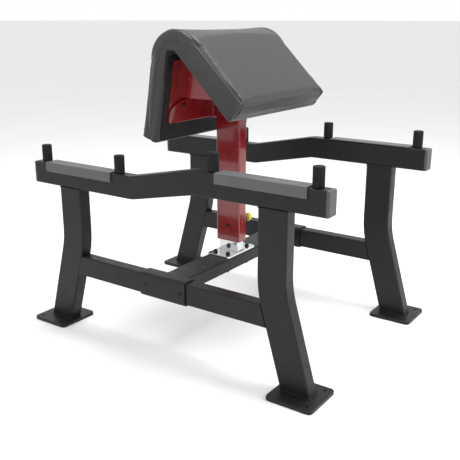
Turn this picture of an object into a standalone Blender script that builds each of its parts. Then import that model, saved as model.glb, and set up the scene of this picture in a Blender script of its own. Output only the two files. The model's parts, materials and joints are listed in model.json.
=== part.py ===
"""Two-sided arm-curl bench with an inverted-V pad on a height-adjustable post.

Units are metres, +Z is up, +X runs along the rails towards the sloping side of the pad.
The origin is on the floor under the middle of the frame.
"""
import math

import bmesh
import bpy
from mathutils import Matrix, Vector

# ---- driving dimensions -------------------------------------------------------------
GAP = 0.0003              # play left between pieces that touch
FRAME_DEPTH = 1.000       # outer face to outer face of the two side frames
TUBE = 0.060              # thickness of every frame tube across the bench
WALL = 0.003              # wall of the steel tubes
EDGE = 0.006              # corner radius of the steel tubes

RAIL_LENGTH = 1.480
RAIL_HEIGHT = 0.098
RAIL_TOP_LOW = 0.757      # top of the rail on the upright side of the pad
RAIL_TOP_HIGH = 0.823     # top of the rail on the sloping side of the pad
RAIL_KINK = 0.164         # half the length of the inclined middle stretch
RAIL_BEND = 0.120

LEG_WIDTH = 0.125
LEG_X = 0.527
LEG_KINK_Z = 0.407
LEG_SPLAY = math.radians(16.2)
LEG_BEND = 0.420

FOOT_SIZE = 0.200
FOOT_THICK = 0.015
FOOT_X = 0.650
FOOT_Y = 0.474
FOOT_HOLE_R = 0.006

CROSS_TOP = 0.346
CROSS_HEIGHT = 0.092

PEG_X = (-0.693, -0.245, 0.245, 0.693)
PEG_R = 0.022
PEG_HEIGHT = 0.076

GUARD_LENGTH = 0.396
GUARD_THICK = 0.005
GUARD_DROP = 0.038
GUARD_SCREW_PITCH = 0.160

CAP_BULGE = 0.012
CAP_PLUG = 0.025

BEAM_WIDTH = 0.125
BEAM_TOP = 0.330
SLEEVE_LENGTH = 0.240
SLEEVE_THICK = 0.006
SLEEVE_BOLT_X = 0.095

BASE_SIZE = (0.122, 0.222, 0.010)
BASE_BOLTS = (0.035, 0.078)

INNER_SIZE = (0.106, 0.050)
INNER_TOP = 0.760
POST_SIZE = (0.126, 0.060)
POST_FOOT = 0.388
POST_TOP = 1.236
TRAVEL_STEP = 0.025
TRAVEL = 0.150

PIN_X = 0.025
PIN_Z = 0.478
PIN_R = 0.006
PIN_HOLE_R = 0.0066
BARREL_R = 0.014
BARREL_LENGTH = 0.048
KNOB_R = 0.0205
KNOB_LENGTH = 0.040

PAD_WIDTH = 0.690
PAD_TILT = math.radians(9.8)     # lean of the upright side
PAD_SLOPE = math.radians(45.0)   # fall of the sloping side
RIDGE = (-0.0505, 1.215)         # centre of the rounded ridge, x and z
RIDGE_R = 0.1305
UPRIGHT_END = 0.8890             # height of the upright side's outer lower corner
SLOPE_LENGTH = 0.353
PAD_THICK = 0.094                # foam, cover and board together
INNER_TOP_Z = 1.258              # top of the hollow under the pad
BOARD_THICK = 0.018
BOARD_WIDTH = 0.640
BOARD_INSET = 0.014              # from the pad's lower ends
BOARD_TOP_Z = 1.235
PAD_EDGE = 0.012                 # rounding of the pad's edges
RECESS_OPEN = 0.050              # how far a board's recess is cut past its face
PLATE_EDGE = 0.0015              # chamfer of boards and cut plates
HEAD_SPACER_WIDTH = 0.100

WING_WIDTH = 0.580
WING_THICK = 0.008
GUSSET_Y = 0.240
GUSSET_THICK = 0.005
GUSSET_FLANGE = 0.100
HEAD_PLATE = (0.180, 0.200, 0.006)

# ---- scene set-up -------------------------------------------------------------------
for old in list(bpy.data.objects):
    bpy.data.objects.remove(old, do_unlink=True)


def new_collection(name):
    made = bpy.data.collections.new(name)
    bpy.context.scene.collection.children.link(made)
    return made


PARTS = new_collection("arm_curl_bench")
CUTTERS = new_collection("cutters")


def material(name, colour, roughness, metallic=0.0):
    made = bpy.data.materials.new(name)
    made.use_nodes = True
    shader = made.node_tree.nodes["Principled BSDF"]
    shader.inputs["Base Color"].default_value = (*colour, 1.0)
    shader.inputs["Roughness"].default_value = roughness
    shader.inputs["Metallic"].default_value = metallic
    made.diffuse_color = (*colour, 1.0)
    return made


FINISHES = {
    "black_paint": ((0.045, 0.046, 0.048), 0.45, 0.0),
    "red_paint": ((0.420, 0.012, 0.016), 0.25, 0.0),
    "chrome": ((0.80, 0.80, 0.80), 0.08, 1.0),
    "black_steel": ((0.02, 0.02, 0.02), 0.40, 0.6),
    "grey_plastic": ((0.13, 0.135, 0.14), 0.50, 0.0),
    "rubber": ((0.012, 0.012, 0.013), 0.85, 0.0),
    "steel": ((0.45, 0.45, 0.46), 0.35, 1.0),
    "vinyl": ((0.15, 0.155, 0.16), 0.55, 0.0),
    "plywood": ((0.02, 0.018, 0.016), 0.80, 0.0),
    "white_plastic": ((0.60, 0.60, 0.58), 0.50, 0.0),
    "yellow_plastic": ((0.80, 0.72, 0.06), 0.35, 0.0),
}


def place(name, mesh, finish, location=(0, 0, 0), rotation=(0, 0, 0)):
    """Put a mesh in the scene as a named sub-part with a material of its own."""
    made = bpy.data.objects.new(name, mesh)
    made.location = location
    made.rotation_euler = rotation
    PARTS.objects.link(made)
    own = material(name, *FINISHES[finish])
    if mesh.materials:
        made.material_slots[0].link = "OBJECT"
        made.material_slots[0].material = own
    else:
        mesh.materials.append(own)
    return made


# ---- basic shapes, each returned as a mesh -------------------------------------------
def evaluated(source):
    """The mesh of an object with its modifiers applied; the object is removed."""
    bpy.context.view_layer.update()
    graph = bpy.context.evaluated_depsgraph_get()
    mesh = bpy.data.meshes.new_from_object(source.evaluated_get(graph))
    bpy.data.objects.remove(source, do_unlink=True)
    mesh.materials.clear()
    form = bmesh.new()
    form.from_mesh(mesh)
    bmesh.ops.remove_doubles(form, verts=form.verts, dist=0.00001)
    bmesh.ops.recalc_face_normals(form, faces=form.faces)
    form.to_mesh(mesh)
    form.free()
    return mesh


def temporary(data):
    made = bpy.data.objects.new("blank", data)
    CUTTERS.objects.link(made)
    return made


def bevelled(mesh, width, segments=2, angle=30.0):
    """Round the sharp edges of a mesh."""
    blank = temporary(mesh)
    bevel = blank.modifiers.new("round", "BEVEL")
    bevel.width = width
    bevel.segments = segments
    bevel.limit_method = "ANGLE"
    bevel.angle_limit = math.radians(angle)
    return evaluated(blank)


def box(size, centre=(0, 0, 0), bevel=0.0, segments=2):
    form = bmesh.new()
    bmesh.ops.create_cube(form, size=1.0)
    bmesh.ops.scale(form, vec=size, verts=form.verts)
    bmesh.ops.translate(form, vec=centre, verts=form.verts)
    mesh = bpy.data.meshes.new("box")
    form.to_mesh(mesh)
    form.free()
    return bevelled(mesh, bevel, segments) if bevel else mesh


def rod(radius, low, high, sides=16, turn=None):
    """A cylinder along Z from low to high, optionally turned by a matrix."""
    form = bmesh.new()
    bmesh.ops.create_cone(form, cap_ends=True, segments=sides, radius1=radius,
                          radius2=radius, depth=high - low)
    bmesh.ops.translate(form, vec=(0, 0, (low + high) / 2), verts=form.verts)
    if turn is not None:
        bmesh.ops.transform(form, matrix=turn, verts=form.verts)
    mesh = bpy.data.meshes.new("rod")
    form.to_mesh(mesh)
    form.free()
    return mesh


def turned(profile, steps=24):
    """A solid of revolution about Z; the profile is (radius, z) from top to bottom."""
    line = bpy.data.meshes.new("profile")
    points = [(r, 0.0, z) for r, z in profile]
    line.from_pydata(points, [(i, i + 1) for i in range(len(points) - 1)], [])
    blank = temporary(line)
    screw = blank.modifiers.new("turn", "SCREW")
    screw.steps = steps
    screw.render_steps = steps
    screw.use_merge_vertices = True
    screw.merge_threshold = 0.0001
    screw.use_normal_calculate = True
    return evaluated(blank)


def outline(points, thickness):
    """A flat plate: an outline of (x, z) points, given a thickness along Y."""
    curve = bpy.data.curves.new("outline", "CURVE")
    curve.dimensions = "2D"
    curve.fill_mode = "BOTH"
    curve.extrude = thickness / 2
    spline = curve.splines.new("POLY")
    spline.points.add(len(points) - 1)
    for point, (x, z) in zip(spline.points, points):
        point.co = (x, z, 0.0, 1.0)
    spline.use_cyclic_u = True
    mesh = evaluated(temporary(curve))
    mesh.transform(Matrix.Rotation(math.pi / 2, 4, "X"))
    return mesh


def arc(centre, radius, start, end, steps):
    """Points of an arc, with the angles in degrees."""
    points = []
    for i in range(steps + 1):
        angle = math.radians(start + (end - start) * i / steps)
        points.append((centre[0] + radius * math.cos(angle),
                       centre[1] + radius * math.sin(angle)))
    return points


def rounded_rectangle(width, height, radius, steps=3):
    points = []
    for i, (sx, sy) in enumerate(((1, 1), (-1, 1), (-1, -1), (1, -1))):
        centre = (sx * (width / 2 - radius), sy * (height / 2 - radius))
        points += arc(centre, radius, 90 * i, 90 * i + 90, steps)
    return points


def smooth(mesh, angle=35.0):
    """Shade the rounded stretches of a mesh smooth and leave its edges sharp."""
    form = bmesh.new()
    form.from_mesh(mesh)
    for face in form.faces:
        face.smooth = True
    for edge in form.edges:
        edge.smooth = edge.calc_face_angle(math.pi) < math.radians(angle)
    form.to_mesh(mesh)
    form.free()
    return mesh


def combined(body, tools, operation="DIFFERENCE"):
    """A mesh with others cut from it, or joined to it."""
    blank = temporary(body)
    kept = []
    for tool in tools:
        cutter = temporary(tool)
        cutter.hide_render = True
        cutter.display_type = "WIRE"
        kept.append(cutter)
        step = blank.modifiers.new("cut", "BOOLEAN")
        step.operation = operation
        step.solver = "EXACT"
        step.object = cutter
    mesh = evaluated(blank)
    for cutter in kept:
        bpy.data.objects.remove(cutter, do_unlink=True)
    return mesh


def at(x, y, z):
    return Matrix.Translation((x, y, z))


def facing(axis, where):
    """A matrix that turns +Z to an axis and moves the origin to a point."""
    turn = Vector((0, 0, 1)).rotation_difference(Vector(axis)).to_matrix().to_4x4()
    return Matrix.Translation(where) @ turn


# ---- bent rectangular tube -----------------------------------------------------------
def bent_path(corners, radius, steps=4):
    """A polyline of (x, z) whose inner corners are arcs of the given radius."""
    path = [Vector(corners[0])]
    for before, corner, after in zip(corners, corners[1:], corners[2:]):
        back = (Vector(before) - Vector(corner)).normalized()
        ahead = (Vector(after) - Vector(corner)).normalized()
        half = back.angle(ahead) / 2
        reach = radius / math.tan(half)
        centre = Vector(corner) + (back + ahead).normalized() * radius / math.sin(half)
        start = Vector(corner) + back * reach - centre
        sweep = math.pi - 2 * half
        side = 1.0 if back.x * ahead.y - back.y * ahead.x < 0 else -1.0
        for i in range(steps + 1):
            turn = Matrix.Rotation(side * sweep * i / steps, 2)
            path.append(centre + turn @ start)
    path.append(Vector(corners[-1]))
    return path


def swept(path, width, thickness, radius, steps):
    """A solid rectangular bar of rounded section along a path of (x, z) points."""
    section = bpy.data.curves.new("section", "CURVE")
    section.dimensions = "2D"
    ring = section.splines.new("POLY")
    points = rounded_rectangle(width, thickness, radius, steps)
    ring.points.add(len(points) - 1)
    for point, (x, y) in zip(ring.points, points):
        point.co = (x, y, 0.0, 1.0)
    ring.use_cyclic_u = True
    shape = temporary(section)
    curve = bpy.data.curves.new("path", "CURVE")
    curve.dimensions = "3D"
    curve.twist_mode = "Z_UP"
    curve.bevel_mode = "OBJECT"
    curve.bevel_object = shape
    curve.use_fill_caps = True
    spline = curve.splines.new("POLY")
    spline.points.add(len(path) - 1)
    for point, (x, z) in zip(spline.points, path):
        point.co = (x, z, 0.0, 1.0)
    mesh = evaluated(temporary(curve))
    bpy.data.objects.remove(shape, do_unlink=True)
    mesh.transform(Matrix.Rotation(math.pi / 2, 4, "X"))
    return mesh


def tube(path, width, thickness, cuts=()):
    """A hollow rectangular tube along a path, open at both ends."""
    first = (path[0] - path[1]).normalized() * 0.05
    last = (path[-1] - path[-2]).normalized() * 0.05
    longer = [path[0] + first, *path[1:-1], path[-1] + last]
    outer = swept(path, width, thickness, EDGE, 2)
    bore = swept(longer, width - 2 * WALL, thickness - 2 * WALL, EDGE - WALL, 1)
    return smooth(combined(outer, [bore, *cuts]))


# ---- the two side frames --------------------------------------------------------------
FRAME_Y = FRAME_DEPTH / 2 - TUBE / 2
RAIL_LOW_Z = RAIL_TOP_LOW - RAIL_HEIGHT / 2
RAIL_HIGH_Z = RAIL_TOP_HIGH - RAIL_HEIGHT / 2
SIDES = (("near", -1), ("far", 1))
ENDS = (("low", -1, RAIL_TOP_LOW), ("high", 1, RAIL_TOP_HIGH))
GUARD_X = (PEG_X[2] + PEG_X[3]) / 2
GUARD_SCREWS = [GUARD_X + i * GUARD_SCREW_PITCH for i in (-1, 0, 1)]
SCREW_R = 0.0025
SCREW_HEAD_R = 0.0060
SCREW_HEAD = 0.0034


def make_rails():
    half = RAIL_LENGTH / 2
    corners = [(-half, RAIL_LOW_Z), (-RAIL_KINK, RAIL_LOW_Z),
               (RAIL_KINK, RAIL_HIGH_Z), (half, RAIL_HIGH_Z)]
    holes = [rod(SCREW_R, top - 0.010, top + 0.010, 10, at(end * x, 0, 0))
             for _, end, top in ENDS for x in GUARD_SCREWS]
    rail = tube(bent_path(corners, RAIL_BEND), RAIL_HEIGHT, TUBE, holes)
    for name, side in SIDES:
        place(f"rail_{name}", rail, "black_paint", (0, side * FRAME_Y, 0))


def leg_line(offset, z):
    """The x of the splayed stretch of a leg at a height, offset across its width."""
    return LEG_X + (LEG_KINK_Z - z) * math.tan(LEG_SPLAY) + offset / math.cos(LEG_SPLAY)


def make_legs():
    for end, side_x, top in ENDS:
        upper = top - RAIL_HEIGHT - GAP
        below = -0.060
        path = bent_path([(LEG_X, upper), (LEG_X, LEG_KINK_Z),
                          (leg_line(0, below), below)], LEG_BEND, 5)
        trim = box((0.6, 0.2, 0.2), (FOOT_X, 0, FOOT_THICK + GAP - 0.1))
        leg = tube(path, LEG_WIDTH, TUBE, [trim])
        if side_x < 0:
            leg.transform(Matrix.Scale(-1, 4, (1, 0, 0)))
            leg.flip_normals()
        for name, side in SIDES:
            place(f"leg_{name}_{end}", leg, "black_paint", (0, side * FRAME_Y, 0))


def make_feet():
    corners = rounded_rectangle(FOOT_SIZE, FOOT_SIZE, 0.018, 4)
    plate = outline(corners, FOOT_THICK)
    plate.transform(Matrix.Rotation(math.pi / 2, 4, "X"))
    plate = bevelled(plate, 0.0015, 1, 50.0)
    holes = [rod(FOOT_HOLE_R, -0.05, 0.05, 16, at(0.069, 0.072 * s, 0)) for s in (-1, 1)]
    foot = smooth(combined(plate, holes))
    for end, side_x, _ in ENDS:
        for name, side in SIDES:
            place(f"foot_{name}_{end}", foot, "black_paint",
                  (side_x * FOOT_X, side * FOOT_Y, FOOT_THICK / 2),
                  (0, 0, 0 if side_x > 0 else math.pi))


def make_crossbeams():
    middle = CROSS_TOP - CROSS_HEIGHT / 2
    low = CROSS_TOP - CROSS_HEIGHT
    reach = leg_line(-LEG_WIDTH / 2, low)
    half = CROSS_HEIGHT / 2 + 0.01
    trims = []
    for s in (-1, 1):
        top_x = leg_line(-LEG_WIDTH / 2, middle + half) - GAP
        low_x = leg_line(-LEG_WIDTH / 2, middle - half) - GAP
        corners = [(s * top_x, middle + half), (s * low_x, middle - half),
                   (s * (reach + 0.1), middle - half), (s * (reach + 0.1), middle + half)]
        trims.append(outline(corners, 0.2))
    holes = [rod(0.0053, -0.1, 0.1, 12, facing((0, 1, 0), (s * SLEEVE_BOLT_X, 0, middle)))
             for s in (-1, 1)]
    path = [Vector((-reach - 0.02, middle)), Vector((reach + 0.02, middle))]
    beam = tube(path, CROSS_HEIGHT, TUBE, trims + holes)
    for name, side in SIDES:
        place(f"crossbeam_{name}", beam, "black_paint", (0, side * FRAME_Y, 0))


def make_caps():
    height = RAIL_HEIGHT
    shell = box((2 * CAP_BULGE, TUBE, height), (0, 0, 0), CAP_BULGE * 0.55, 4)
    trim = box((0.1, 0.2, 0.2), (-0.05, 0, 0))
    shell = combined(shell, [trim])
    plug = box((CAP_PLUG, TUBE - 2 * WALL - 2 * GAP, height - 2 * WALL - 2 * GAP),
               (0.001 - CAP_PLUG / 2, 0, 0), EDGE, 2)
    cap = smooth(combined(shell, [plug], "UNION"))
    for end, side_x, top in ENDS:
        for name, side in SIDES:
            place(f"rail_cap_{name}_{end}", cap, "grey_plastic",
                  (side_x * (RAIL_LENGTH / 2 + GAP), side * FRAME_Y, top - height / 2),
                  (0, 0, 0 if side_x > 0 else math.pi))


def make_pegs():
    edge = 0.006
    profile = [(0.0, PEG_HEIGHT), (PEG_R - edge, PEG_HEIGHT)]
    profile += arc((PEG_R - edge, PEG_HEIGHT - edge), edge, 60, 0, 2)
    profile += [(PEG_R, 0.0), (0.0, 0.0)]
    peg = smooth(turned(profile, 20))
    for name, side in SIDES:
        for number, x in enumerate(PEG_X, 1):
            top = (RAIL_TOP_LOW if x < 0 else RAIL_TOP_HIGH) + GAP
            place(f"bar_peg_{name}_{number}", peg, "rubber", (x, side * FRAME_Y, top))


def make_guards():
    """Plastic wear strips over the top and the outer face of the rails."""
    thick = GUARD_THICK
    drop = thick + GUARD_DROP
    outer = TUBE / 2 + thick + GAP
    corner = 0.004
    section = [(-TUBE / 2, thick), (-TUBE / 2, GAP), (TUBE / 2 + GAP, GAP),
               (TUBE / 2 + GAP, thick - drop), (outer, thick - drop)]
    section += arc((outer - corner, thick - corner), corner, 0, 90, 3)
    bar = outline(section, GUARD_LENGTH)
    bar.transform(Matrix.Rotation(math.pi / 2, 4, "Z"))
    bar = bevelled(bar, 0.0012, 1, 50.0)
    cuts = []
    for i in (-1, 0, 1):
        sink = turned([(0.0, 0.001), (SCREW_HEAD_R + 0.0012, 0.001),
                       (SCREW_HEAD_R + GAP, 0.0), (SCREW_R + GAP, -SCREW_HEAD),
                       (SCREW_R + GAP, -0.02), (0.0, -0.02)], 14)
        sink.transform(at(i * GUARD_SCREW_PITCH, 0, thick))
        cuts.append(sink)
    guard = smooth(combined(bar, cuts))
    mirrored = guard.copy()
    mirrored.transform(Matrix.Scale(-1, 4, (0, 1, 0)))
    mirrored.flip_normals()
    for end, side_x, top in ENDS:
        for name, side in SIDES:
            place(f"bar_guard_{name}_{end}", guard if side > 0 else mirrored,
                  "grey_plastic", (side_x * GUARD_X, side * FRAME_Y, top))


# ---- the centre beam and its sleeves ---------------------------------------------------
SLEEVE_IN = GAP
BEAM_END = FRAME_DEPTH / 2 - TUBE - SLEEVE_THICK - 2 * GAP
BEAM_Z = BEAM_TOP - TUBE / 2
CROSS_Z = CROSS_TOP - CROSS_HEIGHT / 2


def make_sleeves():
    size_y = TUBE + 2 * SLEEVE_IN
    size_z = CROSS_HEIGHT + 2 * SLEEVE_IN
    ring = rounded_rectangle(size_y + 2 * SLEEVE_THICK, size_z + 2 * SLEEVE_THICK,
                             EDGE + SLEEVE_THICK, 3)
    solid = outline(ring, SLEEVE_LENGTH)
    hole = outline(rounded_rectangle(size_y, size_z, EDGE, 3), SLEEVE_LENGTH + 0.02)
    cuts = [hole]
    for mesh in (solid, hole):
        mesh.transform(Matrix.Rotation(math.pi / 2, 4, "Z"))
    for s in (-1, 1):
        cuts.append(rod(0.0053, -0.1, 0.1, 12, facing((0, 1, 0), (s * SLEEVE_BOLT_X, 0, 0))))
    sleeve = smooth(combined(solid, cuts))
    for name, side in SIDES:
        place(f"coupling_sleeve_{name}", sleeve, "black_paint",
              (0, side * FRAME_Y, CROSS_Z))
    face = SLEEVE_THICK + SLEEVE_IN + TUBE / 2 + GAP
    bolt = turned([(0.0, 0.0022), (0.0026, 0.0022), (0.0026, 0.0052), (0.0052, 0.0048),
                   (0.0085, 0.0012), (0.0085, 0.0), (0.0050, 0.0),
                   (0.0050, -2 * face - 0.013), (0.0, -2 * face - 0.013)], 14)
    nut = rod(0.0095, -2 * face - 0.008, -2 * face, 6)
    bolt = smooth(combined(bolt, [nut], "UNION"), 28.0)
    for name, side in SIDES:
        turn = (-side * math.pi / 2, 0, 0)
        for number, s in enumerate((-1, 1), 1):
            place(f"sleeve_bolt_{name}_{number}", bolt, "black_steel",
                  (s * SLEEVE_BOLT_X, side * (FRAME_Y + face), CROSS_Z), turn)


def make_centre_beam():
    path = [Vector((-BEAM_END, 0)), Vector((BEAM_END, 0))]
    holes = [rod(0.0053, -0.1, 0.1, 12, at(y, x, 0))
             for x in (-BASE_BOLTS[0], BASE_BOLTS[0]) for y in (-BASE_BOLTS[1], BASE_BOLTS[1])]
    beam = tube(path, TUBE, BEAM_WIDTH, holes)
    beam.transform(Matrix.Rotation(math.pi / 2, 4, "Z"))
    place("centre_beam", beam, "black_paint", (0, 0, BEAM_Z))


def hex_bolt(shank_r, length, head_r, head, flange_r, nut=()):
    """A hexagon bolt with a flange, and its nut; the flange's underside is at z = 0."""
    body = turned([(0.0, 0.0036), (flange_r * 0.72, 0.0036), (flange_r, 0.0014),
                   (flange_r, 0.0), (shank_r, 0.0), (shank_r, -length), (0.0, -length)], 14)
    hexagon = bevelled(rod(head_r, 0.002, head, 6), 0.0008, 1, 50.0)
    nuts = [rod(head_r, low, high, 6) for low, high in nut]
    return smooth(combined(body, [hexagon, *nuts], "UNION"), 28.0)


def make_base():
    width, depth, thick = BASE_SIZE
    corners = rounded_rectangle(width, depth, 0.012, 4)
    plate = outline(corners, thick)
    plate.transform(Matrix.Rotation(math.pi / 2, 4, "X"))
    plate = bevelled(plate, 0.0012, 1, 50.0)
    spots = [(sx * BASE_BOLTS[0], sy * BASE_BOLTS[1]) for sx in (-1, 1) for sy in (-1, 1)]
    holes = [rod(0.0053, -0.1, 0.1, 12, at(x, y, 0)) for x, y in spots]
    low = BEAM_TOP + GAP
    place("base_plate", smooth(combined(plate, holes)), "chrome", (0, 0, low + thick / 2))
    top = low + thick + GAP
    below = BEAM_TOP - TUBE - GAP - top
    bolt = hex_bolt(0.0050, 0.016 - below, 0.0092, 0.0110, 0.0115, [(below - 0.009, below)])
    for number, (x, y) in enumerate(spots, 1):
        place(f"base_bolt_{number}", bolt, "black_steel", (x, y, top))
    return low + thick + GAP


# ---- the telescopic post ----------------------------------------------------------------
def straight_tube(size, low, high, cuts):
    """An upright rectangular tube."""
    path = [Vector((0, low)), Vector((0, high))]
    return tube(path, size[0], size[1], cuts)


def make_inner_tube(low):
    cuts = []
    for i in range(round(TRAVEL / TRAVEL_STEP) + 1):
        where = (PIN_X, 0, PIN_Z + i * TRAVEL_STEP)
        cuts.append(rod(PIN_HOLE_R, 0.0, 0.05, 16, facing((0, 1, 0), where)))
    place("inner_tube", straight_tube(INNER_SIZE, low, INNER_TOP, cuts), "chrome")


def board_line(z, offset=0.0):
    """The x of the upright board's inner face at a height, moved off it by an offset."""
    reach = RIDGE_R - PAD_THICK - offset
    return (RIDGE[0] * math.cos(PAD_TILT) - (RIDGE[1] - z) * math.sin(PAD_TILT)
            - reach) / math.cos(PAD_TILT)


def slope_line(offset=0.0):
    """The value of x + z on the sloping board's inner face, moved off it by an offset."""
    reach = RIDGE_R - PAD_THICK - offset
    return RIDGE[0] + RIDGE[1] + reach * math.sqrt(2)


HEAD_OFFSET = HEAD_PLATE[2] + 2 * GAP
SCREW_Z = 0.464


def make_post():
    top = slope_line(HEAD_OFFSET)
    half = POST_SIZE[0] / 2 + 0.05
    slant = outline([(-half, POST_TOP), (top - POST_TOP, POST_TOP), (half, top - half),
                     (half, top + 0.3), (-half, top + 0.3)], 0.2)
    cuts = [slant,
            rod(BARREL_R - 0.004 + GAP, 0.0, 0.1, 20, facing((0, 1, 0), (PIN_X, 0, PIN_Z))),
            rod(0.0053, 0.0, 0.1, 12, facing((0, -1, 0), (0, 0, SCREW_Z)))]
    place("post", straight_tube(POST_SIZE, POST_FOOT, top + half, cuts), "red_paint")
    screw = turned([(0.0, 0.0015), (0.0022, 0.0015), (0.0022, 0.0045), (0.0048, 0.0045),
                    (0.0072, 0.0030), (0.0072, 0.0), (0.0050, 0.0),
                    (0.0050, -0.0044), (0.0, -0.0044)], 14)
    screw.transform(facing((0, -1, 0), (0, -POST_SIZE[1] / 2 - GAP, SCREW_Z)))
    place("set_screw", smooth(screw), "black_steel")


def make_glides():
    """Plastic guides between the post and the chrome tube."""
    for name, low, high in (("lower", POST_FOOT + 0.001, POST_FOOT + 0.045),
                            ("upper", 0.560, 0.600)):
        outer = rounded_rectangle(POST_SIZE[0] - 2 * WALL - 2 * GAP,
                                  POST_SIZE[1] - 2 * WALL - 2 * GAP, EDGE, 2)
        inner = rounded_rectangle(INNER_SIZE[0] + 2 * GAP, INNER_SIZE[1] + 2 * GAP,
                                  EDGE - 0.001, 2)
        ring = outline(outer, high - low)
        hole = outline(inner, high - low + 0.02)
        glide = combined(ring, [hole])
        glide.transform(Matrix.Rotation(math.pi / 2, 4, "X"))
        place(f"glide_{name}", smooth(glide), "white_plastic", (0, 0, (low + high) / 2))


def make_pull_pin():
    face = POST_SIZE[1] / 2
    end = face + BARREL_LENGTH
    bore = PIN_R + 0.0001
    guide = 0.012
    spigot = BARREL_R - 0.004
    barrel = turned([(bore, end), (BARREL_R, end), (BARREL_R, face + GAP),
                     (spigot, face + GAP), (spigot, face - WALL), (bore, face - WALL),
                     (bore, face + guide), (0.0105, face + guide), (0.0105, end - guide),
                     (bore, end - guide), (bore, end)], 20)
    pin_axis = facing((0, 1, 0), (PIN_X, 0, PIN_Z))
    barrel.transform(pin_axis)
    place("pin_barrel", smooth(barrel), "black_steel")

    axis = bpy.data.objects.new("pull_pin_axis", None)
    axis.matrix_world = pin_axis
    axis.empty_display_size = 0.05
    PARTS.objects.link(axis)
    tip = INNER_SIZE[1] / 2 - WALL - 0.003
    knob_low = end + 0.001
    collar = face + guide + 0.001
    pin = turned([(0.0, knob_low + 0.022), (PIN_R, knob_low + 0.022), (PIN_R, collar + 0.003),
                  (0.0098, collar + 0.003), (0.0098, collar), (PIN_R, collar),
                  (PIN_R, tip + 0.001), (PIN_R - 0.001, tip), (0.0, tip)], 20)
    place("pin_plunger", smooth(pin), "steel").parent = axis
    knob = turned([(0.0, knob_low + KNOB_LENGTH)]
                  + arc((0.0, knob_low + KNOB_LENGTH - KNOB_R), KNOB_R, 75, -25, 9)
                  + [(0.0125, knob_low + 0.007), (0.0110, knob_low), (PIN_R + GAP, knob_low),
                     (PIN_R + GAP, knob_low + 0.0225), (0.0, knob_low + 0.0225)], 20)
    place("pull_knob", smooth(knob), "yellow_plastic").parent = axis

    low = collar + 0.003 + 0.0010
    high = end - guide - 0.0010
    turns = 5
    count = turns * 8
    curve = bpy.data.curves.new("coil", "CURVE")
    curve.dimensions = "3D"
    curve.bevel_depth = 0.0008
    curve.bevel_resolution = 1
    curve.use_fill_caps = True
    spline = curve.splines.new("POLY")
    spline.points.add(count)
    for i, point in enumerate(spline.points):
        angle = 2 * math.pi * i / 8
        point.co = (0.0084 * math.cos(angle), 0.0084 * math.sin(angle),
                    low + (high - low) * i / count, 1.0)
    coil = evaluated(temporary(curve))
    coil.transform(pin_axis)
    place("pin_spring", smooth(coil, 60.0), "steel")


# ---- the pad and its bracket -------------------------------------------------------------
UP = Vector((math.sin(PAD_TILT), 0, math.cos(PAD_TILT)))          # along the upright side
OUT = Vector((math.cos(PAD_TILT), 0, -math.sin(PAD_TILT)))        # into the hollow, off it
DOWN = Vector((math.cos(PAD_SLOPE), 0, -math.sin(PAD_SLOPE)))     # down the sloping side
IN = Vector((-math.sin(PAD_SLOPE), 0, -math.cos(PAD_SLOPE)))      # into the hollow, off it
CENTRE = Vector((RIDGE[0], 0, RIDGE[1]))
UPRIGHT_TOP = CENTRE - OUT * RIDGE_R
UPRIGHT_LENGTH = (UPRIGHT_TOP.z - UPRIGHT_END) / UP.z
SLOPE_TOP = CENTRE - IN * RIDGE_R


def flat(point):
    return (point.x, point.z)


def slab(start, along, length, off, thick, width, grow=0.0):
    """A flat board from a start point, running along one direction, off a face."""
    start = start - along * grow - off * grow
    end = start + along * (length + 2 * grow)
    thick += grow
    points = [flat(start), flat(end), flat(end + off * thick), flat(start + off * thick)]
    return outline(points, width + 2 * grow)


def board_slab(face, along, off, low, grow=0.0, extra=0.0):
    """The board inside one side of the pad, from its lower end to the hollow's top."""
    start = face + off * (PAD_THICK - BOARD_THICK)
    length = low - BOARD_INSET - (start.z - BOARD_TOP_Z) / abs(along.z)
    first = start + along * (low - BOARD_INSET)
    return slab(first, -along, length, off, BOARD_THICK + extra, BOARD_WIDTH, grow)


def make_pad():
    upper = INNER_TOP_Z
    upright_in = UPRIGHT_TOP + OUT * PAD_THICK
    slope_in = SLOPE_TOP + IN * PAD_THICK
    points = [flat(UPRIGHT_TOP - UP * UPRIGHT_LENGTH)]
    points += arc(RIDGE, RIDGE_R, 180 - math.degrees(PAD_TILT),
                  math.degrees(PAD_SLOPE), 12)
    points.append(flat(SLOPE_TOP + DOWN * SLOPE_LENGTH))
    points.append(flat(slope_in + DOWN * SLOPE_LENGTH))
    points.append(flat(slope_in + DOWN * ((slope_in.z - upper) / -DOWN.z)))
    points.append(flat(upright_in - UP * ((upright_in.z - upper) / UP.z)))
    points.append(flat(upright_in - UP * UPRIGHT_LENGTH))
    pad = bevelled(outline(points, PAD_WIDTH), PAD_EDGE, 2, 32.0)
    sides = {"upright": (UPRIGHT_TOP, -UP, OUT, UPRIGHT_LENGTH),
             "slope": (SLOPE_TOP, DOWN, IN, SLOPE_LENGTH)}
    recesses = [board_slab(*side, grow=GAP, extra=RECESS_OPEN) for side in sides.values()]
    place("pad_cushion", smooth(combined(pad, recesses)), "vinyl")
    cuts = {"upright": bolt_cuts(wing_bolt_places()), "slope": []}
    for name, side in sides.items():
        board = bevelled(board_slab(*side), PLATE_EDGE, 1)
        if cuts[name]:
            board = combined(board, cuts[name])
        place(f"board_{name}", board, "plywood")


WING_LOW = 0.952
WING_TOP = 1.055
WING_OFFSET = GUSSET_THICK + 2 * GAP     # from the board's face to the back of the plate
WING_BOLTS = [(y, 1.024) for y in (-0.205, 0.205)]
BOLT_LENGTH = 0.030


def wing_bolt_places():
    places = []
    for y, z in WING_BOLTS:
        x = board_line(z, WING_OFFSET + WING_THICK + GAP)
        places.append(facing(OUT, (x, y, z)))
    return places


def bolt_cuts(places):
    return [rod(0.0043, -0.1, 0.05, 12, matrix) for matrix in places]


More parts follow.
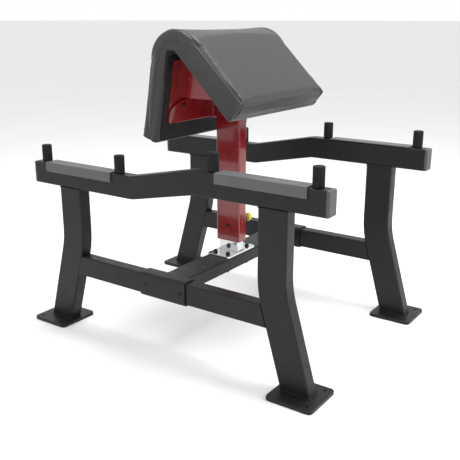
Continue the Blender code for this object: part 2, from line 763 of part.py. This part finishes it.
def make_wing():
    """The wide red plate that carries the upright board."""
    half = WING_WIDTH / 2
    height = (WING_TOP - WING_LOW) / UP.z
    shoulder = 0.045
    right = [(half - 0.006, 0.0), (half, 0.006), (half, shoulder)]
    for i in range(1, 7):
        share = i / 6
        angle = share * math.pi / 2
        right.append((half - 0.150 * (1 - math.cos(angle)),
                      shoulder + (height - shoulder) * math.sin(angle)))
    left = [(-x, z) for x, z in reversed(right)]
    plate = bevelled(outline(right + left, WING_THICK), 0.002, 2, 50.0)
    turn = Matrix.Rotation(math.pi / 2, 4, "Z")
    tilt = Matrix.Rotation(PAD_TILT, 4, "Y")
    x = board_line(WING_LOW, WING_OFFSET + WING_THICK / 2)
    plate.transform(at(x, 0, WING_LOW) @ tilt @ turn)
    plate = combined(plate, bolt_cuts(wing_bolt_places()))
    place("wing_plate", smooth(plate), "red_paint")


def make_head():
    """The box that joins the post to the wing plate, and the plate under the slope."""
    low = WING_LOW + 0.006
    high = WING_TOP - 0.004
    face = -POST_SIZE[0] / 2 - GAP
    offset = WING_OFFSET + WING_THICK + GAP
    points = [(face, low), (face, high), (board_line(high, offset), high),
              (board_line(low, offset), low)]
    spacer = bevelled(outline(points, HEAD_SPACER_WIDTH), PLATE_EDGE, 1)
    place("head_spacer", spacer, "red_paint")
    length, width, thick = HEAD_PLATE
    total = slope_line(thick + GAP)
    start = Vector((-0.045, 0, total + 0.045))
    plate = bevelled(slab(start, DOWN, length, -IN, thick, width), PLATE_EDGE, 1)
    place("head_plate", plate, "red_paint")


def make_gussets():
    """Triangular webs with a flange on the upright board, one near each end of the pad."""
    low = 1.060
    reach = WING_LOW + 0.006
    top = 1.215
    thick = GUSSET_THICK
    web_top = slope_line(GAP) - 0.002
    peak_z = 1.236
    points = [(board_line(low, GAP), low), (board_line(peak_z, GAP), peak_z),
              (web_top - peak_z, peak_z), (web_top - low, low)]
    flange_low = [(board_line(z, GAP), z) for z in (reach, top)]
    flange_high = [(board_line(z, thick + GAP), z) for z in (top, reach)]
    for name, side in SIDES:
        web = outline(points, thick)
        web.transform(at(0, side * GUSSET_Y, 0))
        flange = outline(flange_low + flange_high, GUSSET_FLANGE)
        flange.transform(at(0, side * GUSSET_Y, 0))
        gusset = combined(web, [flange], "UNION")
        gusset = combined(gusset, bolt_cuts(wing_bolt_places()))
        place(f"gusset_{name}", gusset, "red_paint")


def make_wing_bolts():
    bolt = hex_bolt(0.0040, BOLT_LENGTH, 0.0075, 0.0075, 0.0092)
    for (name, _), (y, z) in zip(SIDES, WING_BOLTS):
        x = board_line(z, WING_OFFSET + WING_THICK + GAP)
        place(f"wing_bolt_{name}", bolt, "black_steel", (x, y, z),
              (0, math.pi / 2 + PAD_TILT, 0))


# ---- assembly ------------------------------------------------------------------------------
make_rails()
make_legs()
make_feet()
make_crossbeams()
make_caps()
make_pegs()
make_guards()
make_sleeves()
make_centre_beam()
make_inner_tube(make_base())
make_post()
make_glides()
make_pull_pin()
make_pad()
make_wing()
make_head()
make_gussets()
make_wing_bolts()
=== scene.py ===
"""Looks of a two-sided arm curl bench with bar rests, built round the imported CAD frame.

Metres, +Z up. The floor is z = 0, +X points to the sloping side of the pad.
"""

import json
import math

import bmesh
import bpy
import numpy as np
from mathutils import Matrix, Vector
from mathutils.bvhtree import BVHTree

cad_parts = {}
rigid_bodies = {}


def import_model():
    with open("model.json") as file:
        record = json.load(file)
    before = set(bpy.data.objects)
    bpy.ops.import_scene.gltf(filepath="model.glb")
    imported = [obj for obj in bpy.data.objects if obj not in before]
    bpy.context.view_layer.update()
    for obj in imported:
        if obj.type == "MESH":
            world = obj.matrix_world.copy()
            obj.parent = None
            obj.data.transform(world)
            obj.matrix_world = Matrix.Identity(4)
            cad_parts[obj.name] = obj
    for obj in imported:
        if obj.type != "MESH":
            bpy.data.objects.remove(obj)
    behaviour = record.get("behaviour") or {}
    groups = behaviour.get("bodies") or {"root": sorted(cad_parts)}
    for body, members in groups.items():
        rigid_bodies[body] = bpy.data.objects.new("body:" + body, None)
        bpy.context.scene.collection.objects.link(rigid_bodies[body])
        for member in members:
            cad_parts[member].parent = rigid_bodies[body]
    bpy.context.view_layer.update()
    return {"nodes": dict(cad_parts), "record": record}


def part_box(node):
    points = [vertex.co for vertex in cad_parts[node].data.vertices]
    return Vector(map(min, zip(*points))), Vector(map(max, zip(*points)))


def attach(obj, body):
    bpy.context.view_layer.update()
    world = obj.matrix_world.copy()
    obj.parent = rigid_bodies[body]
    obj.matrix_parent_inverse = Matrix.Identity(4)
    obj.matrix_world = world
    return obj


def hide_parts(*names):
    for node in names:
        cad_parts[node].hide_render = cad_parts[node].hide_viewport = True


for old in list(bpy.data.objects):
    bpy.data.objects.remove(old, do_unlink=True)

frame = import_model()
NODES = frame["nodes"]
SCENE = bpy.context.scene

# ---- camera, light and floor -------------------------------------------------------------
CAMERA_PLACE = (1.7777, -2.5492, 1.3795)
CAMERA_PITCH = math.radians(16.96)       # below the horizon
CAMERA_YAW = math.radians(35.01)
CAMERA_LENS = 54.29

# name, place, size, power, aimed at
LAMPS = [
    ("key_light", (3.4, 0.6, 3.2), 2.2, 75.0, (0.0, 0.0, 0.8)),
    ("front_light", (-1.6, -4.2, 2.6), 2.4, 16.0, (0.0, 0.0, 0.6)),
    ("top_light", (0.3, 0.4, 4.4), 2.4, 150.0, (0.0, 0.0, 0.6)),
]
FLOOR_HALF = 400.0


def make_camera():
    data = bpy.data.cameras.new("camera")
    data.lens = CAMERA_LENS
    data.sensor_width = 36.0
    data.clip_end = 1000.0
    camera = bpy.data.objects.new("camera", data)
    camera.location = CAMERA_PLACE
    camera.rotation_euler = (math.pi / 2 - CAMERA_PITCH, 0.0, CAMERA_YAW)
    SCENE.collection.objects.link(camera)
    SCENE.camera = camera


def make_lamps():
    for name, place, size, power, target in LAMPS:
        data = bpy.data.lights.new(name, "AREA")
        data.shape = "DISK"
        data.size = size
        data.energy = power
        lamp = bpy.data.objects.new(name, data)
        lamp.location = place
        aim = Vector(target) - Vector(place)
        lamp.rotation_euler = aim.to_track_quat("-Z", "Y").to_euler()
        SCENE.collection.objects.link(lamp)
    world = bpy.data.worlds.new("studio")
    world.use_nodes = True
    world.node_tree.nodes["Background"].inputs["Color"].default_value = (1, 1, 1, 1)
    world.node_tree.nodes["Background"].inputs["Strength"].default_value = 1.0
    SCENE.world = world
    SCENE.view_settings.view_transform = "Standard"


# ---- materials -----------------------------------------------------------------------------
class Finish:
    """A node material in small steps: every pattern is read in the object's own metres."""

    def __init__(self, name, roughness, metallic=0.0, specular=0.5):
        self.material = bpy.data.materials.new(name)
        self.material.use_nodes = True
        self.tree = self.material.node_tree
        self.shader = self.tree.nodes["Principled BSDF"]
        self.shader.inputs["Metallic"].default_value = metallic
        self.shader.inputs["Specular IOR Level"].default_value = specular
        self.shader.inputs["Roughness"].default_value = roughness
        self.place = self.tree.nodes.new("ShaderNodeTexCoord").outputs["Object"]

    def node(self, kind, inputs=None, **settings):
        made = self.tree.nodes.new(kind)
        for key, value in settings.items():
            setattr(made, key, value)
        for key, value in (inputs or {}).items():
            if isinstance(value, bpy.types.NodeSocket):
                self.tree.links.new(value, made.inputs[key])
            else:
                made.inputs[key].default_value = value
        return made

    def noise(self, scale, detail=3.0, stretch=None):
        where = self.place
        if stretch:
            where = self.node("ShaderNodeMapping",
                              {"Vector": where, "Scale": stretch}).outputs["Vector"]
        return self.node("ShaderNodeTexNoise", {"Vector": where, "Scale": scale,
                                                "Detail": detail}).outputs["Fac"]

    def cells(self, scale):
        return self.node("ShaderNodeTexVoronoi", {"Vector": self.place, "Scale": scale},
                         feature="SMOOTH_F1").outputs["Distance"]

    def span(self, pattern, low, high):
        """The pattern's middle band spread from one value to another."""
        return self.node("ShaderNodeMapRange", {"Value": pattern, "From Min": 0.3,
                                                "From Max": 0.7, "To Min": low,
                                                "To Max": high}).outputs["Result"]

    def colour(self, pattern, low, high):
        ramp = self.node("ShaderNodeValToRGB", {"Fac": pattern})
        ramp.color_ramp.elements[0].position = 0.32
        ramp.color_ramp.elements[0].color = (*low, 1.0)
        ramp.color_ramp.elements[1].position = 0.68
        ramp.color_ramp.elements[1].color = (*high, 1.0)
        self.tree.links.new(ramp.outputs["Color"], self.shader.inputs["Base Color"])
        return self

    def roughness(self, pattern, low, high):
        self.tree.links.new(self.span(pattern, low, high), self.shader.inputs["Roughness"])
        return self

    def relief(self, layers, rounding=0.0):
        """Bumps laid over one another, on edges softened by the rounding."""
        normal = None
        if rounding:
            normal = self.node("ShaderNodeBevel", {"Radius": rounding},
                               samples=4).outputs["Normal"]
        for pattern, depth in layers:
            inputs = {"Height": pattern, "Distance": depth, "Strength": 1.0}
            if normal:
                inputs["Normal"] = normal
            normal = self.node("ShaderNodeBump", inputs).outputs["Normal"]
        self.tree.links.new(normal, self.shader.inputs["Normal"])
        return self

    def coat(self, weight, roughness):
        self.shader.inputs["Coat Weight"].default_value = weight
        self.shader.inputs["Coat Roughness"].default_value = roughness
        return self

    def sheen(self, weight, roughness):
        self.shader.inputs["Sheen Weight"].default_value = weight
        self.shader.inputs["Sheen Roughness"].default_value = roughness
        return self


def make_finishes():
    made = {}

    paint = Finish("black_powder_coat", 0.42, specular=0.30)
    paint.colour(paint.noise(9.0), (0.0060, 0.0062, 0.0064), (0.0078, 0.0080, 0.0083))
    paint.roughness(paint.noise(35.0, 4.0), 0.36, 0.50)
    paint.relief([(paint.noise(650.0, 2.0), 0.00010)], 0.0030)
    made["black_paint"] = paint.material

    red = Finish("red_gloss_paint", 0.20, specular=0.55).coat(0.7, 0.05)
    red.colour(red.noise(7.0), (0.185, 0.0025, 0.0045), (0.215, 0.0032, 0.0056))
    red.roughness(red.noise(25.0, 4.0), 0.15, 0.30)
    red.relief([(red.noise(260.0, 2.0), 0.00012)], 0.0020)
    made["red_paint"] = red.material

    chrome = Finish("chrome_plate", 0.08, metallic=1.0)
    chrome.colour(chrome.noise(12.0), (0.56, 0.57, 0.58), (0.66, 0.66, 0.67))
    chrome.roughness(chrome.noise(40.0, 5.0, (1.0, 1.0, 0.2)), 0.08, 0.20)
    chrome.relief([(chrome.noise(420.0, 2.0, (1.0, 1.0, 0.05)), 0.00004)], 0.0015)
    made["chrome"] = chrome.material

    oxide = Finish("black_oxide_steel", 0.38, metallic=0.7)
    oxide.colour(oxide.noise(140.0), (0.018, 0.018, 0.019), (0.034, 0.034, 0.036))
    oxide.roughness(oxide.noise(220.0), 0.30, 0.48)
    oxide.relief([(oxide.noise(1400.0), 0.00010)], 0.0007)
    made["black_steel"] = oxide.material

    steel = Finish("bright_steel", 0.30, metallic=1.0)
    steel.colour(steel.noise(160.0), (0.46, 0.46, 0.47), (0.60, 0.60, 0.60))
    steel.roughness(steel.noise(300.0, 3.0, (1.0, 0.1, 1.0)), 0.22, 0.40)
    steel.relief([(steel.noise(1800.0, 2.0, (1.0, 0.08, 1.0)), 0.00005)])
    made["bright_steel"] = steel.material

    guard = Finish("grey_guard_plastic", 0.50, specular=0.40)
    guard.colour(guard.noise(14.0), (0.080, 0.083, 0.087), (0.090, 0.093, 0.098))
    guard.roughness(guard.noise(60.0), 0.42, 0.58)
    guard.relief([(guard.cells(900.0), 0.00010), (guard.noise(2600.0), 0.00004)], 0.0015)
    made["guard_plastic"] = guard.material

    cap = Finish("grey_cap_plastic", 0.45, specular=0.40)
    cap.colour(cap.noise(18.0), (0.062, 0.064, 0.068), (0.072, 0.074, 0.078))
    cap.roughness(cap.noise(80.0), 0.38, 0.52)
    cap.relief([(cap.cells(1200.0), 0.00009)], 0.0020)
    made["cap_plastic"] = cap.material

    rubber = Finish("black_peg_rubber", 0.80, specular=0.25)
    rubber.colour(rubber.noise(60.0), (0.006, 0.006, 0.0065), (0.011, 0.011, 0.0115))
    rubber.roughness(rubber.noise(120.0), 0.70, 0.90)
    rubber.relief([(rubber.noise(1100.0, 4.0), 0.00040)])
    made["peg_rubber"] = rubber.material

    knob = Finish("yellow_knob_plastic", 0.35, specular=0.5)
    knob.colour(knob.noise(80.0), (0.60, 0.52, 0.020), (0.68, 0.60, 0.030))
    knob.roughness(knob.noise(150.0), 0.28, 0.44)
    knob.relief([(knob.noise(1500.0), 0.00012)])
    made["yellow_plastic"] = knob.material

    glide = Finish("white_glide_plastic", 0.50)
    glide.colour(glide.noise(50.0), (0.52, 0.52, 0.50), (0.64, 0.64, 0.61))
    glide.roughness(glide.noise(120.0), 0.42, 0.58)
    glide.relief([(glide.noise(1300.0), 0.00010)], 0.0008)
    made["glide_plastic"] = glide.material

    vinyl = Finish("grey_vinyl", 0.46, specular=0.42).sheen(0.05, 0.45)
    vinyl.colour(vinyl.noise(22.0, 5.0), (0.022, 0.0225, 0.023), (0.026, 0.0265, 0.0275))
    vinyl.roughness(vinyl.noise(90.0, 4.0), 0.42, 0.50)
    vinyl.relief([(vinyl.cells(620.0), 0.00016), (vinyl.noise(1900.0), 0.00006)])
    made["vinyl_cushion"] = vinyl.material

    seam = Finish("dark_seam_cord", 0.70, specular=0.25)
    seam.colour(seam.noise(200.0), (0.006, 0.006, 0.007), (0.014, 0.014, 0.015))
    seam.roughness(seam.noise(300.0), 0.60, 0.82)
    seam.relief([(seam.noise(1500.0), 0.00020)])
    made["seam"] = seam.material

    board = Finish("black_stained_plywood", 0.75, specular=0.25)
    grain = board.noise(24.0, 6.0, (1.0, 0.08, 1.0))
    board.colour(grain, (0.009, 0.009, 0.009), (0.024, 0.023, 0.022))
    board.roughness(grain, 0.62, 0.85)
    board.relief([(board.noise(160.0, 5.0, (1.0, 0.06, 1.0)), 0.00035)], 0.0010)
    made["black_board"] = board.material

    ground = Finish("studio_floor", 0.75, specular=0.15)
    ground.colour(ground.noise(1.5), (0.80, 0.80, 0.80), (0.82, 0.82, 0.82))
    ground.roughness(ground.noise(4.0), 0.70, 0.80)
    made["floor"] = ground.material
    return made


FINISHES = make_finishes()


def paint_cad_nodes():
    """Every CAD node takes the finish of its slot in the record."""
    for entry in frame["record"]["subparts"]:
        holder = NODES[entry["node"]]
        if not holder.data.materials:
            holder.data.materials.append(None)
        for held in holder.material_slots:
            held.link = "OBJECT"
            held.material = FINISHES[entry["material_slot"]]


# ---- building blocks ------------------------------------------------------------------------
def piece(name, mesh, finish, body, replaced=()):
    """Shows a finished mesh as one piece of the object."""
    made = bpy.data.objects.new(name, mesh)
    SCENE.collection.objects.link(made)
    mesh.materials.clear()
    mesh.materials.append(FINISHES[finish])
    for polygon in mesh.polygons:
        polygon.use_smooth = True
    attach(made, body)
    if replaced:
        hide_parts(*replaced)
    return made


def lathe(name, profile, sides, wave=None):
    """A closed turned mesh about Z, from (radius, height) points that end on the axis."""
    shape = bmesh.new()
    rings = []
    for radius, height in profile:
        if radius == 0.0:
            rings.append([shape.verts.new((0.0, 0.0, height))])
            continue
        ring = []
        for i in range(sides):
            angle = 2 * math.pi * i / sides
            reach = radius + (wave(angle, radius, height) if wave else 0.0)
            ring.append(shape.verts.new((reach * math.cos(angle),
                                         reach * math.sin(angle), height)))
        rings.append(ring)
    for low, high in zip(rings, rings[1:]):
        for i in range(sides):
            j = (i + 1) % sides
            corners = [low[i % len(low)], low[j % len(low)],
                       high[j % len(high)], high[i % len(high)]]
            shape.faces.new(list(dict.fromkeys(corners)))
    bmesh.ops.recalc_face_normals(shape, faces=shape.faces)
    mesh = bpy.data.meshes.new(name)
    shape.to_mesh(mesh)
    shape.free()
    return mesh


def rounded(radius, low, high, corner, steps=5):
    """Profile of a plain round bar with rounded ends, from its low axis point to its high one."""
    points = [(0.0, low)]
    for i in range(steps + 1):
        angle = math.pi / 2 * i / steps
        points.append((radius - corner + corner * math.sin(angle),
                       low + corner - corner * math.cos(angle)))
    for i in range(steps + 1):
        angle = math.pi / 2 * i / steps
        points.append((radius - corner + corner * math.cos(angle),
                       high - corner + corner * math.sin(angle)))
    return points + [(0.0, high)]


def cord_along(name, points, radius, closed, sides=8, ripple=0.0, pitch=0.004):
    """A tube along a path, its radius rippling like a bead laid in small steps."""
    points = [Vector(p) for p in points]
    count = len(points)
    shape = bmesh.new()
    rings = []
    travelled = 0.0
    across = None
    for i, point in enumerate(points):
        ahead = points[(i + 1) % count] if closed or i + 1 < count else point
        behind = points[i - 1] if closed or i else point
        along = (ahead - behind).normalized()
        if across is None:
            across = along.orthogonal().normalized()
        across = (across - along * across.dot(along)).normalized()
        other = along.cross(across)
        travelled += (point - behind).length
        size = radius * (1 + ripple * math.sin(2 * math.pi * travelled / pitch))
        rings.append([shape.verts.new(point + size * (math.cos(a) * across
                                                      + math.sin(a) * other))
                      for a in (2 * math.pi * k / sides for k in range(sides))])
    pairs = list(zip(rings, rings[1:])) + ([(rings[-1], rings[0])] if closed else [])
    for low, high in pairs:
        turn = 0
        if closed and low is rings[-1]:
            turn = min(range(sides), key=lambda k: (low[0].co - high[k].co).length)
        for k in range(sides):
            shape.faces.new([low[k], low[(k + 1) % sides],
                             high[(k + 1 + turn) % sides], high[(k + turn) % sides]])
    if not closed:
        shape.faces.new(rings[0][::-1])
        shape.faces.new(rings[-1])
    bmesh.ops.recalc_face_normals(shape, faces=shape.faces)
    mesh = bpy.data.meshes.new(name)
    shape.to_mesh(mesh)
    shape.free()
    return mesh


def resampled(points, step, closed):
    """Points spaced evenly along a path."""
    path = [np.array(p, float) for p in points]
    if closed:
        path.append(path[0])
    path = np.array(path)
    reach = np.concatenate([[0.0], np.cumsum(np.linalg.norm(np.diff(path, axis=0), axis=1))])
    count = max(3, int(round(reach[-1] / step)))
    where = np.linspace(0.0, reach[-1], count + 1)
    if closed:
        where = where[:-1]
    return np.stack([np.interp(where, reach, path[:, k]) for k in range(3)], 1)


# ---- the cushion ---------------------------------------------------------------------------
PAD_TILT = math.radians(9.8)        # lean of the upright side
PAD_SLOPE = math.radians(45.0)      # fall of the sloping side
RIDGE_R = 0.1305
RIDGE_FROM_HIGH_X = 0.3410          # from the slope's lower end back to the ridge's centre
SLOPE_LENGTH = 0.353
UPRIGHT_LENGTH = 0.353
PAD_THICK = 0.094
ROLL = 0.024                        # rounding of the cover over the pad's ends
VOXEL = 0.0052
SHRINK = 0.0035                     # the pad starts this much slimmer, then swells
SWELL_LIMIT = 0.0075
HELD_DEPTH = 0.066                  # deeper foam is glued to the boards and stays put
CLOTH_FRAMES = 20
SEAM_INSET = ROLL - 0.001
SEAM_R = 0.0011
SEAM_PULL = 0.0016                  # how deep the seam draws the cover in
SEAM_SPREAD = 0.0035
SEAM_STEP = 0.004                   # spacing of the points along a seam cord
SEAM_WRAP = 0.8                     # share of the pad's thickness the seam runs round below
PRESSURE = 4.0
COVER_STIFFNESS = 20.0


def pad_outline():
    """The pad's outer line as (x, z) points, from the upright foot over the ridge and down."""
    _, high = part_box("pad_cushion")
    centre = np.array([high.x - RIDGE_FROM_HIGH_X, high.z - RIDGE_R])
    first = math.pi - PAD_TILT
    turns = [first + (PAD_SLOPE - first) * i / 24 for i in range(25)]
    crest = [centre + RIDGE_R * np.array([math.cos(a), math.sin(a)]) for a in turns]
    up = np.array([math.sin(PAD_TILT), math.cos(PAD_TILT)])
    down = np.array([math.cos(PAD_SLOPE), -math.sin(PAD_SLOPE)])
    foot = crest[0] - up * UPRIGHT_LENGTH
    toe = crest[-1] + down * SLOPE_LENGTH
    return np.array([foot, *crest, toe])


def depth_below(outline, places):
    """How far each (x, z) place lies from the outer line."""
    best = np.full(len(places), 1e9)
    for a, b in zip(outline, outline[1:]):
        run = b - a
        share = np.clip(((places - a) @ run) / (run @ run), 0.0, 1.0)
        nearest = a + share[:, None] * run
        best = np.minimum(best, np.linalg.norm(places - nearest, axis=1))
    return best


def coordinates(mesh):
    out = np.zeros(len(mesh.vertices) * 3)
    mesh.vertices.foreach_get("co", out)
    return out.reshape(-1, 3)


def set_coordinates(mesh, places):
    mesh.vertices.foreach_set("co", places.ravel())
    mesh.update()


def modified(holder, kind, **settings):
    """Adds a modifier to a working object and makes its result the object's mesh."""
    step = holder.modifiers.new(kind.lower(), kind)
    for key, value in settings.items():
        setattr(step, key, value)
    graph = bpy.context.evaluated_depsgraph_get()
    result = bpy.data.meshes.new_from_object(holder.evaluated_get(graph))
    holder.modifiers.clear()
    holder.data = result


def roll_ends(places, outline, half):
    """Rounds both ends' outer edges by drawing them towards the middle of the pad."""
    depth = depth_below(outline, places[:, [0, 2]])
    inset = half - np.abs(places[:, 1])
    a = ROLL - depth
    b = ROLL - inset
    reach = np.hypot(np.maximum(a, 0), np.maximum(b, 0))
    outside = (a > 0) & (b > 0) & (reach > ROLL)
    keep = np.where(outside, ROLL / np.maximum(reach, 1e-9), 1.0)
    moved = places.copy()
    moved[:, 1] = np.where(outside, np.sign(places[:, 1]) * (half - ROLL + b * keep),
                           places[:, 1])
    centre = outline[1:-1].mean(axis=0)
    inward = centre - places[:, [0, 2]]
    inward /= np.linalg.norm(inward, axis=1)[:, None]
    push = np.where(outside, a * (1 - keep), 0.0)
    moved[:, [0, 2]] += inward * push[:, None]
    return moved


def swell(holder, outline):
    """Inflates the cover with Cloth and limits how far any point may travel."""
    mesh = holder.data
    before = coordinates(mesh)
    depth = depth_below(outline, before[:, [0, 2]])
    held = holder.vertex_groups.new(name="held")
    for index in np.nonzero(depth > HELD_DEPTH)[0]:
        held.add([int(index)], 1.0, "REPLACE")
    cloth = holder.modifiers.new("cloth", "CLOTH")
    cloth.settings.use_pressure = True
    cloth.settings.uniform_pressure_force = PRESSURE
    cloth.settings.effector_weights.gravity = 0.0
    cloth.settings.vertex_group_mass = "held"
    cloth.settings.quality = 4
    cloth.settings.tension_stiffness = COVER_STIFFNESS
    cloth.settings.compression_stiffness = COVER_STIFFNESS
    cloth.settings.bending_stiffness = 1.0
    cloth.collision_settings.use_collision = False
    cloth.point_cache.frame_end = CLOTH_FRAMES
    for step in range(1, CLOTH_FRAMES + 1):
        SCENE.frame_set(step)
    graph = bpy.context.evaluated_depsgraph_get()
    after = coordinates(holder.evaluated_get(graph).data)
    holder.modifiers.clear()
    holder.vertex_groups.clear()
    SCENE.frame_set(1)
    travel = after - before
    length = np.linalg.norm(travel, axis=1)
    limit = np.minimum(1.0, SWELL_LIMIT / np.maximum(length, 1e-9))
    set_coordinates(mesh, before + travel * limit[:, None])


def normals_of(mesh):
    out = np.zeros(len(mesh.vertices) * 3)
    mesh.vertices.foreach_get("normal", out)
    return out.reshape(-1, 3)


def make_cushion():
    outline = pad_outline()
    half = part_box("pad_cushion")[1].y
    work = bpy.data.objects.new("cushion_work", NODES["pad_cushion"].data.copy())
    SCENE.collection.objects.link(work)
    modified(work, "REMESH", mode="VOXEL", voxel_size=VOXEL)
    places = roll_ends(coordinates(work.data), outline, half)
    set_coordinates(work.data, places)
    modified(work, "SMOOTH", factor=0.5, iterations=3)
    depth = depth_below(outline, coordinates(work.data)[:, [0, 2]])
    slim = np.where(depth < HELD_DEPTH, SHRINK, 0.0)
    set_coordinates(work.data, coordinates(work.data) - normals_of(work.data) * slim[:, None])
    swell(work, outline)
    modified(work, "SMOOTH", factor=0.5, iterations=2)
    modified(work, "SUBSURF", levels=1)
    press_seams(work.data, outline, half)
    mesh = work.data
    bpy.data.objects.remove(work)
    cushion = piece("cushion", mesh, "vinyl_cushion", "carriage", replaced=["pad_cushion"])
    make_seam_cords(mesh, outline, half)


def press_seams(mesh, outline, half):
    """Pulls the cover in along the seam that runs round the pad just inside each end."""
    places = coordinates(mesh)
    depth = depth_below(outline, places[:, [0, 2]])
    off = np.abs(np.abs(places[:, 1]) - (half - SEAM_INSET))
    pull = SEAM_PULL * np.exp(-(off / SEAM_SPREAD) ** 2) * (depth < 0.5 * PAD_THICK)
    set_coordinates(mesh, places - normals_of(mesh) * pull[:, None])


def make_seam_cords(mesh, outline, half):
    """A thin dark cord lying in each seam, from the upright foot round to the slope's toe."""
    tree = BVHTree.FromPolygons([v.co for v in mesh.vertices],
                                [p.vertices for p in mesh.polygons])
    up = outline[0] - outline[1]
    down = outline[-1] - outline[-2]
    inward = [np.array([-up[1], up[0]]), np.array([down[1], -down[0]])]
    ends = []
    for corner, side in zip((outline[0], outline[-1]), inward):
        side = side / np.linalg.norm(side)
        if (outline.mean(axis=0) - corner) @ side < 0:
            side = -side
        ends.append(corner + side * PAD_THICK * SEAM_WRAP)
    line = np.array([ends[0], *outline, ends[1]])
    for name, sign in (("near", -1), ("far", 1)):
        y = sign * (half - SEAM_INSET)
        path = resampled([(x, y, z) for x, z in line], SEAM_STEP, False)
        laid = []
        for place in path:
            found, normal, _, _ = tree.find_nearest(Vector(place))
            laid.append(Vector((found.x, y, found.z)) + normal * SEAM_R * 0.3)
        laid = resampled(laid, SEAM_STEP, False)
        tube = cord_along(f"seam_cord_{name}", laid, SEAM_R, False)
        piece(f"seam_cord_{name}", tube, "seam", "carriage")


# ---- small parts -------------------------------------------------------------------------
SIDES = ("near", "far")
ENDS = ("low", "high")
PEG_CORNER = 0.0035
GUARD_SCREWS = (-0.160, 0.0, 0.160)
SCREW_HEAD_R = 0.0058
SCREW_SINK = 0.0004                 # how far a head lies under the guard's top
SOCKET_R = 0.0026                   # everything inside this belongs to the socket
KNOB_FLUTES = 10
FLUTE_DEPTH = 0.0009


def make_pegs():
    """Rubber-sleeved pegs that keep the bar on its rest."""
    for side in SIDES:
        for number in range(1, 5):
            node = f"bar_peg_{side}_{number}"
            low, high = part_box(node)
            radius = (high.x - low.x) / 2
            mesh = lathe(node, rounded(radius, low.z, high.z, PEG_CORNER), 56)
            mesh.transform(Matrix.Translation(((low.x + high.x) / 2,
                                               (low.y + high.y) / 2, 0.0)))
            piece(f"peg_sleeve_{side}_{number}", mesh, "peg_rubber", "frame",
                  replaced=[node])


def socket_screw_profile():
    """Countersunk head with a round socket, as (radius, height) from the socket's floor."""
    return [(0.0, -0.0026), (0.0024, -0.0026), (0.0025, -0.0001), (0.0030, 0.0002),
            (SCREW_HEAD_R - 0.0008, 0.0002), (SCREW_HEAD_R, -0.0004),
            (SCREW_HEAD_R - 0.0026, -0.0030), (0.0, -0.0030)]


def hexagonal(angle, radius, _height):
    """Pulls the socket's round wall in to six flats."""
    if radius > SOCKET_R:
        return 0.0
    sector = (angle % (math.pi / 3)) - math.pi / 6
    return radius * (math.cos(math.pi / 6) / math.cos(sector) - 1.0)


def make_guard_screws():
    for side in SIDES:
        for end in ENDS:
            low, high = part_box(f"bar_guard_{side}_{end}")
            rail_low, rail_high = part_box(f"rail_{side}")
            y = (rail_low.y + rail_high.y) / 2
            for number, along in enumerate(GUARD_SCREWS, 1):
                mesh = lathe("screw", socket_screw_profile(), 36, hexagonal)
                mesh.transform(Matrix.Translation(((low.x + high.x) / 2 + along, y,
                                                   high.z - SCREW_SINK)))
                piece(f"guard_screw_{side}_{end}_{number}", mesh, "black_steel", "frame")


def make_knob():
    """Fluted grip of the pull pin, in place of the plain turned one."""
    low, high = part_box("pull_knob")
    radius = (high.x - low.x) / 2
    length = high.y - low.y
    profile = [(0.0, 0.0), (0.010, 0.0), (0.0112, 0.0010), (0.0120, 0.0060),
               (0.0150, length * 0.30)]
    for i in range(13):
        angle = math.radians(-38 + 118 * i / 12)
        profile.append((radius * math.cos(angle) + 1e-5,
                        length - radius + radius * math.sin(angle)))
    profile.append((0.0, length))

    def flutes(angle, _radius, height):
        grip = max(0.0, 1 - abs(height - length * 0.5) / (length * 0.3))
        return -FLUTE_DEPTH * grip * (0.5 + 0.5 * math.cos(KNOB_FLUTES * angle)) ** 2

    mesh = lathe("knob", profile, 80, flutes)
    mesh.transform(Matrix.Translation(((low.x + high.x) / 2, low.y, (low.z + high.z) / 2))
                   @ Matrix.Rotation(-math.pi / 2, 4, "X"))
    piece("knob_grip", mesh, "yellow_plastic", "pull_pin", replaced=["pull_knob"])


# ---- welds ------------------------------------------------------------------------------
WELD_R = 0.0026
WELD_STEP = 0.0016
WELD_RIPPLE = 0.16
WELD_PITCH = 0.0048
LEVEL_TOLERANCE = 0.0012


def outline_at(node, height):
    """Corner points of a node's horizontal end at a height, as a convex loop."""
    points = {(round(v.co.x, 5), round(v.co.y, 5)) for v in NODES[node].data.vertices
              if abs(v.co.z - height) < LEVEL_TOLERANCE}
    points = sorted(points)

    def half(run):
        kept = []
        for p in run:
            while len(kept) > 1 and ((kept[-1][0] - kept[-2][0]) * (p[1] - kept[-2][1])
                                     - (kept[-1][1] - kept[-2][1])
                                     * (p[0] - kept[-2][0])) <= 0:
                kept.pop()
            kept.append(p)
        return kept[:-1]

    return half(points) + half(points[::-1])


def make_weld(name, node, height, lift, finish="black_paint"):
    loop = [(x, y, height + lift) for x, y in outline_at(node, height)]
    path = resampled(loop, WELD_STEP, True)
    tube = cord_along(name, path, WELD_R, True, 8, WELD_RIPPLE, WELD_PITCH)
    piece(name, tube, finish, "frame")


def make_welds():
    for side in SIDES:
        for end in ENDS:
            leg = f"leg_{side}_{end}"
            low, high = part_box(leg)
            make_weld(f"weld_foot_{side}_{end}", leg, low.z, 0.0008)
            make_weld(f"weld_rail_{side}_{end}", leg, high.z, -0.0012)
    low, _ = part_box("inner_tube")
    make_weld("weld_inner_tube", "inner_tube", low.z, 0.0008, "chrome")


def make_floor():
    shape = bmesh.new()
    bmesh.ops.create_grid(shape, x_segments=8, y_segments=8, size=FLOOR_HALF)
    mesh = bpy.data.meshes.new("floor")
    shape.to_mesh(mesh)
    shape.free()
    mesh.materials.append(FINISHES["floor"])
    floor = bpy.data.objects.new("floor", mesh)
    SCENE.collection.objects.link(floor)


make_camera()
make_lamps()
paint_cad_nodes()
make_cushion()
make_pegs()
make_guard_screws()
make_knob()
make_welds()
make_floor()
